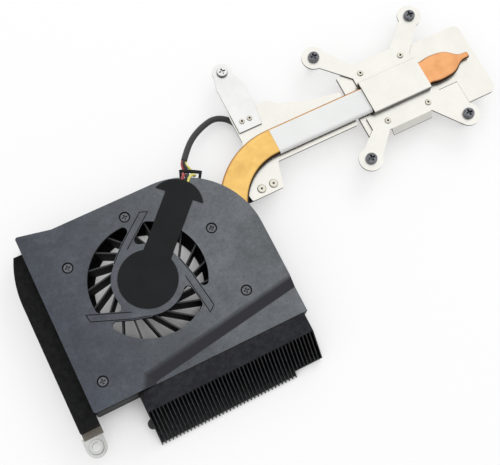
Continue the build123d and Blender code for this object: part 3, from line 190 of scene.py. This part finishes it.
# Materials.
def moulded(name, base, rough=0.5, contrast=0.16, spec=0.4):
    """Moulded plastic: fine spark texture, faint mottling and uneven gloss."""
    m, nt, bsdf = new_material(name, base, rough, spec=spec)
    v = coords(nt)
    fine = noise(nt, v, **SPARK)
    broad = noise(nt, v, 60.0)
    speck = spread(nt, fine, shade(base, 1 - contrast), shade(base, 1 + contrast))
    cloud = spread(nt, broad, grey(0.90), WHITE)
    gloss = spread(nt, broad, grey(rough - 0.05), grey(rough + 0.08))
    nt.links.new(times(nt, speck, cloud), bsdf.inputs["Base Color"])
    nt.links.new(gloss, bsdf.inputs["Roughness"])
    bump(nt, bsdf, fine, **SPARK_BUMP)
    return m


def cover_plastic():
    """Painted moulding: cloudy, with a painted sheen paler to the right, and painted shade on
    the step's slope, on upright walls and in grooves.
    """
    # left to right is a painted sheen; slope and wall are painted shade on the step's slope and
    # on upright faces.
    left, right = (0.052, 0.060, 0.078), (0.146, 0.158, 0.172)
    slope, wall_shade = (0.019, 0.018, 0.026), (0.004, 0.004, 0.005)
    m, nt, bsdf = new_material("cover_plastic", left, 0.5, spec=0.4)
    v = coords(nt)
    fine = noise(nt, v, **SPARK)
    broad = noise(nt, v, 38.0, 3.0, 0.6)
    middle = noise(nt, v, 240.0, 4.0, 0.6)
    grain = noise(nt, v, 1000.0, 3.0, 0.6)
    tone = mix(nt, map_range(nt, place(nt, "X"), COVER_LEFT, COVER_RIGHT), left, right)
    for layer, low, high in (
        (broad, 0.72, 1.16), (middle, 0.82, 1.12), (grain, 0.82, 1.12), (fine, 0.88, 1.10),
    ):
        tone = times(nt, tone, spread(nt, layer, grey(low), grey(high)))
    # Painted shade on the slope starts softly at the step's upper edge and pales again in a
    # painted highlight line at its foot.
    sunk = map_range(nt, place(nt, "Z"), COVER_TOP, COVER_TOP - STEP_DROP)
    slope_shade_fade = ramp(nt, sunk, (0.0, grey(0.0)), (0.34, WHITE), (0.94, WHITE), (1.0, grey(0.4)))
    tone = mix(nt, calc(nt, "MULTIPLY", steepness(nt, 0.995, 0.93), slope_shade_fade), tone, slope)
    # Upright faces take a near-black painted shade.
    upright = steepness(nt, 0.35, 0.15)
    tone = mix(nt, upright, tone, wall_shade)
    sheen = ramp(nt, upright, (0.0, grey(0.4)), (1.0, grey(0.06)))
    gloss = spread(nt, broad, grey(0.45), grey(0.58))
    # The cover's grooves and recesses take painted shade.
    nt.links.new(times(nt, tone, painted_hollow_shade(nt, 1.2 * MM, 0.12)), bsdf.inputs["Base Color"])
    nt.links.new(sheen, bsdf.inputs["Specular IOR Level"])
    nt.links.new(gloss, bsdf.inputs["Roughness"])
    bump(nt, bsdf, fine, **SPARK_BUMP)
    return m


def foam(name, base):
    """Closed-cell foam: small pits with a dusty, uneven colour."""
    m, nt, bsdf = new_material(name, base, 0.95, spec=0.15)
    v = coords(nt)
    cells = node(nt, "ShaderNodeTexVoronoi", Scale=1500.0)
    nt.links.new(v, cells.inputs["Vector"])
    dust = noise(nt, v, 420.0, 5.0, 0.7)
    tone = ramp(nt, dust, (0.3, shade(base, 0.6)), (0.75, shade(base, 1.8)))
    nt.links.new(tone, bsdf.inputs["Base Color"])
    bump(nt, bsdf, cells.outputs["Distance"], 0.55, 0.12 * MM)
    return m


def woven(name, base):
    """Thin cloth tape: two crossed sets of threads under a matte finish."""
    thread = 0.35 * MM
    m, nt, bsdf = new_material(name, base, 0.62, spec=0.24)
    v = coords(nt, rotation=(0.0, 0.0, radians(45)))
    waves = []
    for direction in ("X", "Y"):
        wave = node(
            nt, "ShaderNodeTexWave", wave_type="BANDS", bands_direction=direction,
            Scale=WAVE_BAND / thread, Distortion=0.6,
        )
        nt.links.new(v, wave.inputs["Vector"])
        waves.append(wave.outputs["Fac"])
    tone = spread(nt, noise(nt, v, 90.0, 4.0), shade(base, 0.75), shade(base, 1.35))
    nt.links.new(tone, bsdf.inputs["Base Color"])
    bump(nt, bsdf, calc(nt, "MULTIPLY", *waves), 0.25, 0.05 * MM)
    return m


def sheet_metal(name, base, rough=0.34, grain=(1.0, 60.0, 1.0), marks=0.12):
    """Rolled or stamped sheet: fine drawn lines, faint stains, uneven polish, upright faces and
    cut edges darkened partly as dull cut metal and partly as painted shade, and painted shade
    in gaps.

    The grain is the noise's scale on each axis, largest across the drawn lines.
    """
    m, nt, bsdf = new_material(name, base, rough, metal=1.0)
    lines = noise(nt, coords(nt, scale=grain), 90.0, 5.0, 0.65)
    stain = noise(nt, coords(nt), 110.0, 4.0)
    tone = ramp(nt, stain, (0.3, shade(base, 1 - marks)), (0.65, base))
    tone = times(nt, tone, spread(nt, lines, grey(0.95), WHITE))
    # Upright faces and cut edges: dull cut metal, darkened further as painted shade.
    tone = mix(nt, steepness(nt, 0.85, 0.35), tone, shade(base, 0.12))
    gloss = spread(nt, lines, grey(rough - 0.08), grey(rough + 0.1))
    # Painted shade in gaps and where parts touch.
    nt.links.new(times(nt, tone, painted_hollow_shade(nt, 0.7 * MM, 0.30)), bsdf.inputs["Base Color"])
    nt.links.new(gloss, bsdf.inputs["Roughness"])
    bump(nt, bsdf, lines, 0.06, SCUFF_DEPTH)
    return m


def screw_metal(name, base, rough, marks):
    """Plated screw: mottled plating, with painted shade in its recess."""
    m, nt, bsdf = new_material(name, base, rough, metal=0.6)
    mottle = noise(nt, coords(nt), 900.0, 4.0, 0.65)
    tone = ramp(nt, mottle, (0.32, shade(base, 1 - marks)), (0.62, shade(base, 1 + marks)))
    # The recess takes painted shade.
    nt.links.new(times(nt, tone, painted_hollow_shade(nt, 0.9 * MM, 0.03)), bsdf.inputs["Base Color"])
    bump(nt, bsdf, mottle, 0.1, SCUFF_DEPTH)
    return m


def pipe_copper():
    """Drawn copper: golden in the bend, pinker at the nose, stained, with painted light on its
    far side and painted shade on its front side.
    """
    gold, pink = (0.98, 0.635, 0.205), (0.97, 0.48, 0.21)
    lit_far_side, shaded_front_side = (0.48, 0.21, 0.075), (0.026, 0.011, 0.006)
    stained = (0.80, 0.74, 0.70)
    m, nt, bsdf = new_material("pipe_copper", gold, 0.33, metal=1.0)
    stain = noise(nt, coords(nt), 120.0, 5.0, 0.6)
    drawn = noise(nt, coords(nt, scale=(0.12, 1.0, 1.0)), 2400.0)
    face = mix(nt, map_range(nt, place(nt, "X"), PIPE_GOLD_END, PIPE_PINK_START), gold, pink)
    face = times(nt, face, ramp(nt, stain, (0.28, stained), (0.6, WHITE)))
    # Upright sides: painted light where they face away, painted shade where they face the
    # front.
    side = mix(nt, map_range(nt, facing(nt, "Y"), 0.3, -0.3), lit_far_side, shaded_front_side)
    tone = mix(nt, steepness(nt, 0.97, 0.72, edge=0.8 * MM), face, side)
    nt.links.new(tone, bsdf.inputs["Base Color"])
    nt.links.new(spread(nt, stain, grey(0.42), grey(0.27)), bsdf.inputs["Roughness"])
    bump(nt, bsdf, drawn, 0.08, SCUFF_DEPTH)
    return m


def fin_metal():
    """Black finished fins whose cut edges show paler metal in places."""
    face, edge = (0.009, 0.0095, 0.0105), (0.052, 0.054, 0.058)
    m, nt, bsdf = new_material("fin_metal", face, 0.45, metal=0.4)
    cut = map_range(nt, calc(nt, "ABSOLUTE", facing(nt, "X")), 0.75, 0.25)
    worn = noise(nt, coords(nt), 700.0, 4.0, 0.7)
    patchy = calc(nt, "MULTIPLY", cut, map_range(nt, worn, 0.36, 0.72))
    nt.links.new(mix(nt, patchy, face, edge), bsdf.inputs["Base Color"])
    bump(nt, bsdf, worn, 0.1, 0.05 * MM)
    return m


def blade_plastic():
    """Dark satin moulding with a painted highlight on its level top edges."""
    face, lit_top_edge = (0.011, 0.011, 0.012), (0.062, 0.064, 0.068)
    m, nt, bsdf = new_material("blade_plastic", face, 0.62, spec=0.06)
    fine = noise(nt, coords(nt), 1800.0)
    speck = spread(nt, fine, grey(0.85), grey(1.1))
    # Level top edges take a painted highlight; upright faces keep the dark moulding.
    tone = mix(nt, steepness(nt, 0.9, 0.7), lit_top_edge, face)
    nt.links.new(times(nt, tone, speck), bsdf.inputs["Base Color"])
    bump(nt, bsdf, fine, 0.08, SCUFF_DEPTH)
    return m


def insulated(name, base):
    """Wire insulation: soft gloss with slight scuffing."""
    m, nt, bsdf = new_material(name, base, 0.38)
    scuff = noise(nt, coords(nt), 900.0, 4.0)
    tone = spread(nt, scuff, shade(base, 0.8), shade(base, 1.1))
    nt.links.new(tone, bsdf.inputs["Base Color"])
    bump(nt, bsdf, scuff, 0.08, SCUFF_DEPTH)
    return m


def paper(name, base):
    """Plain paper stock: faint fibres and a slightly uneven tone."""
    m, nt, bsdf = new_material(name, base, 0.6, spec=0.35)
    v = coords(nt)
    fibre = noise(nt, v, 1500.0, 5.0, 0.7)
    tone = spread(nt, noise(nt, v, 70.0), shade(base, 0.95), base)
    tone = times(nt, tone, spread(nt, fibre, grey(0.965), WHITE))
    nt.links.new(tone, bsdf.inputs["Base Color"])
    bump(nt, bsdf, fibre, 0.06, SCUFF_DEPTH)
    return m


# Finishes that several nodes share, then the finish of each node.
PLAIN_STEEL = sheet_metal("plain_steel", (0.97, 0.97, 0.955), 0.33, marks=0.08)
ROLLED_PLATE = sheet_metal(
    "rolled_plate", (0.985, 0.970, 0.900), 0.34, (60.0, 1.0, 1.0), marks=0.06,
)
RIVET = sheet_metal("rivet_brass", (0.90, 0.86, 0.74), 0.34, EVEN)
BLACK_PLATED = screw_metal("black_plated", (0.150, 0.155, 0.170), 0.34, marks=0.55)
NYLON = moulded("plain_nylon", (0.70, 0.69, 0.64), 0.45, contrast=0.05)
FINISH = {
    # Fan.
    "top_cover": cover_plastic(),
    # The housing's very dark colour is partly its black plastic and partly painted shade of its
    # near wall.
    "lower_housing": moulded("housing_plastic", (0.016, 0.0165, 0.019), 0.55, spec=0.15),
    "cover_screws": screw_metal("grey_plated", (0.130, 0.138, 0.150), 0.42, marks=0.2),
    "hub_tape": woven("black_tape", (0.0060, 0.0068, 0.0075)),
    "impeller": blade_plastic(),
    "rotor_cup": PLAIN_STEEL,
    "rotor_magnet": moulded("bonded_magnet", (0.060, 0.058, 0.056), 0.6),
    "motor_shaft": PLAIN_STEEL,
    "shaft_clip": NYLON,
    "bearing_sleeve": sheet_metal("bearing_bronze", (0.50, 0.36, 0.20), 0.5, EVEN),
    "stator_core": PLAIN_STEEL,
    "stator_coils": sheet_metal("winding_copper", (0.62, 0.27, 0.12), 0.35, (1.0, 1.0, 40.0)),
    "motor_board": moulded("solder_mask", (0.020, 0.105, 0.050), 0.35, contrast=0.1),
    # Heat path.
    "heat_pipe": pipe_copper(),
    "pipe_label": paper("bare_label", (0.85, 0.86, 0.85)),
    "fin_stack": fin_metal(),
    "fin_foam": foam("fin_foam", (0.021, 0.0215, 0.025)),
    "support_plate": ROLLED_PLATE,
    "ear_bracket": PLAIN_STEEL,
    "ear_rivets": RIVET,
    "wing_rivets": RIVET,
    "ear_screw": PLAIN_STEEL,
    "base_plate": ROLLED_PLATE,
    "contact_pad": sheet_metal("pad_copper", (0.86, 0.47, 0.27), 0.3, (50.0, 1.0, 1.0)),
    "clamp_plate": sheet_metal(
        "clamp_steel", (0.985, 0.972, 0.910), 0.33, (1.0, 50.0, 1.0), marks=0.06,
    ),
    "clamp_rivets": RIVET,
    "captive_screws": BLACK_PLATED,
    "screw_clips": NYLON,
    # Side.
    "side_bracket": sheet_metal("worn_steel", (0.70, 0.71, 0.69), 0.36, marks=0.35),
    "bracket_screws": BLACK_PLATED,
    "side_foam": foam("black_foam", (0.010, 0.0103, 0.0105)),
    "foam_liner": paper("brown_liner", (0.20, 0.18, 0.15)),
    # Cable.
    "red_wire": insulated("red_insulation", (0.42, 0.065, 0.060)),
    "yellow_wire": insulated("yellow_insulation", (0.80, 0.74, 0.20)),
    "black_wire": insulated("black_insulation", (0.02, 0.02, 0.02)),
    "cable_plug": moulded("plug_plastic", (0.72, 0.70, 0.62), 0.4, contrast=0.05),
}
for name, material in FINISH.items():
    NODES[name].material_slots[0].material = material

# Cable sleeve, on the route of the CAD solid that it stands for, in millimetres.
SLEEVE_ROUTE = [
    (-93.5, 7.0, 4.4), (-90.0, 11.5, 3.4), (-85.0, 15.9, 2.0),
    (-79.0, 18.9, 0.8), (-73.0, 20.4, -0.2), (-67.5, 17.6, -1.2),
    (-64.7, 12.2, -2.1), (-64.2, 6.6, -2.65), (-64.2, 1.8, -2.65),
]
SLEEVE_D = 2.6


def round_tube(name, points, radius):
    curve = bpy.data.curves.new(name, "CURVE")
    curve.dimensions = "3D"
    curve.resolution_u = 16
    curve.bevel_depth = radius * MM
    curve.bevel_resolution = 6
    curve.use_fill_caps = True
    spline = curve.splines.new("NURBS")
    spline.points.add(len(points) - 1)
    for point, xyz in zip(spline.points, points):
        point.co = (*[v * MM for v in xyz], 1.0)
    spline.order_u = 3
    spline.use_endpoint_u = True
    tube = bpy.data.objects.new(name, curve)
    bpy.context.scene.collection.objects.link(tube)
    return tube


sleeve = round_tube("sleeve_tube", SLEEVE_ROUTE, SLEEVE_D / 2)
sleeve.data.materials.append(insulated("sleeve_yarn", (0.030, 0.030, 0.032)))
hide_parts("cable_sleeve")
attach(sleeve, "frame")

# Floor, just under the fan's bottom. Under the fan its painted shade brightens along Y between
# two places.
scene = bpy.context.scene
FLOOR_SIZE, FLOOR_Z = 4.0, -4.1 * MM
FLOOR_DIFFUSE, FLOOR_GLOW = 0.42, 0.56
FAN_SHADE_DARKEST_Y, FAN_SHADE_LIGHTEST_Y = -52.0 * MM, -24.0 * MM
FAN_SHADE_DARKEST, FAN_SHADE_LIGHTEST = 0.12, 0.70


def seen_ray(nt):
    """1 for rays that show the floor, directly or in a reflection."""
    path = node(nt, "ShaderNodeLightPath").outputs
    mirrored = calc(nt, "MAXIMUM", path["Is Glossy Ray"], path["Is Transmission Ray"])
    return calc(nt, "MAXIMUM", path["Is Camera Ray"], mirrored)


def floor_white():
    """White in the open, with a painted shadow close to the part and a dim painted shade where
    it shows through the fan.
    """
    m = bpy.data.materials.new("floor_white")
    m.use_nodes = True
    nt = m.node_tree
    nt.nodes.clear()
    out = node(nt, "ShaderNodeOutputMaterial")
    paint = node(nt, "ShaderNodeBsdfDiffuse", Color=(*grey(FLOOR_DIFFUSE), 1.0))
    glow = node(nt, "ShaderNodeEmission")
    both = node(nt, "ShaderNodeAddShader")
    # Painted shade where the floor shows through the fan, lighter toward one side.
    across = map_range(nt, place(nt, "Y"), FAN_SHADE_DARKEST_Y, FAN_SHADE_LIGHTEST_Y)
    painted_fan_shade = ramp(nt, across, (0.0, grey(FAN_SHADE_DARKEST)), (1.0, grey(FAN_SHADE_LIGHTEST)))
    # in_open keeps the painted fan shade to deep hollows; the second term is a painted shadow
    # close to the part.
    in_open = painted_hollow_shade(nt, 18.0 * MM, 0.0, shut=0.04, clear=0.62)
    painted_contact_shadow = painted_hollow_shade(nt, 6.0 * MM, 0.50, shut=0.15, clear=0.80)
    nt.links.new(times(nt, mix(nt, in_open, painted_fan_shade, WHITE), painted_contact_shadow), glow.inputs["Color"])
    nt.links.new(calc(nt, "MULTIPLY", seen_ray(nt), FLOOR_GLOW), glow.inputs["Strength"])
    nt.links.new(paint.outputs[0], both.inputs[0])
    nt.links.new(glow.outputs[0], both.inputs[1])
    nt.links.new(both.outputs[0], out.inputs["Surface"])
    return m


bpy.ops.mesh.primitive_plane_add(size=FLOOR_SIZE, location=(0.0, 0.0, FLOOR_Z))
floor = bpy.context.object
floor.name = "floor"
floor.data.materials.append(floor_white())

# Light: a white room, brighter behind the part, and two soft lamps.
BRIGHT_SIDE = (0.35, 0.90, 0.25)
ROOM_LIMITS = {"From Min": -0.45, "From Max": 0.35, "To Min": 0.60, "To Max": 1.0}
AIM = (-70.0 * MM, -30.0 * MM, 0.0)


def studio_world():
    """Dimmer away from the bright side, and plain white where the camera sees it."""
    world = bpy.data.worlds.new("studio")
    world.use_nodes = True
    nt = world.node_tree
    back = nt.nodes["Background"]
    back.inputs["Color"].default_value = (*WHITE, 1.0)
    toward = node(nt, "ShaderNodeVectorMath", operation="DOT_PRODUCT")
    toward.inputs[1].default_value = BRIGHT_SIDE
    nt.links.new(node(nt, "ShaderNodeTexCoord").outputs["Generated"], toward.inputs[0])
    room = node(nt, "ShaderNodeMapRange", interpolation_type="SMOOTHSTEP", **ROOM_LIMITS)
    nt.links.new(toward.outputs["Value"], room.inputs["Value"])
    camera_ray = node(nt, "ShaderNodeLightPath").outputs["Is Camera Ray"]
    level = calc(nt, "MAXIMUM", room.outputs["Result"], camera_ray)
    nt.links.new(level, back.inputs["Strength"])
    return world


def lamp(name, at, size, power):
    light = bpy.data.lights.new(name, "AREA")
    light.shape = "DISK"
    light.size = size
    light.energy = power
    stand = bpy.data.objects.new(name, light)
    scene.collection.objects.link(stand)
    stand.location = at
    stand.rotation_euler = (Vector(AIM) - Vector(at)).to_track_quat("-Z", "Y").to_euler()
    return stand


scene.world = studio_world()
key = lamp("key", at=(0.60, 0.60, 0.60), size=0.55, power=2.8)
key.visible_glossy = False
lamp("fill", at=(-0.65, -0.35, 0.6), size=0.9, power=0.7)

# Camera, at the photograph's place and angle.
IMAGE_W, FOCAL_PX, SENSOR_W = 500.0, 944.0, 36.0
ELEVATION, AZIMUTH, ROLL = radians(72.7), radians(37.4), radians(-11.0)
CAMERA_AT = Vector((-151.23, -121.11, 364.58)) * MM

ahead = Vector((0.0, cos(ELEVATION), -sin(ELEVATION)))
side = Vector((1.0, 0.0, 0.0))
down = ahead.cross(side)
turn = Matrix.Rotation(-AZIMUTH, 3, "Z")
image_right = turn @ (side * cos(ROLL) + down * sin(ROLL))
image_down = turn @ (down * cos(ROLL) - side * sin(ROLL))
pose = Matrix((image_right, -image_down, -(turn @ ahead))).transposed().to_4x4()
pose.translation = CAMERA_AT
lens = bpy.data.cameras.new("camera")
lens.sensor_fit = "HORIZONTAL"
lens.sensor_width = SENSOR_W
lens.lens = SENSOR_W * FOCAL_PX / IMAGE_W
lens.clip_start = 0.01
camera = bpy.data.objects.new("camera", lens)
scene.collection.objects.link(camera)
camera.matrix_world = pose
scene.camera = camera

scene.view_settings.view_transform = "Standard"
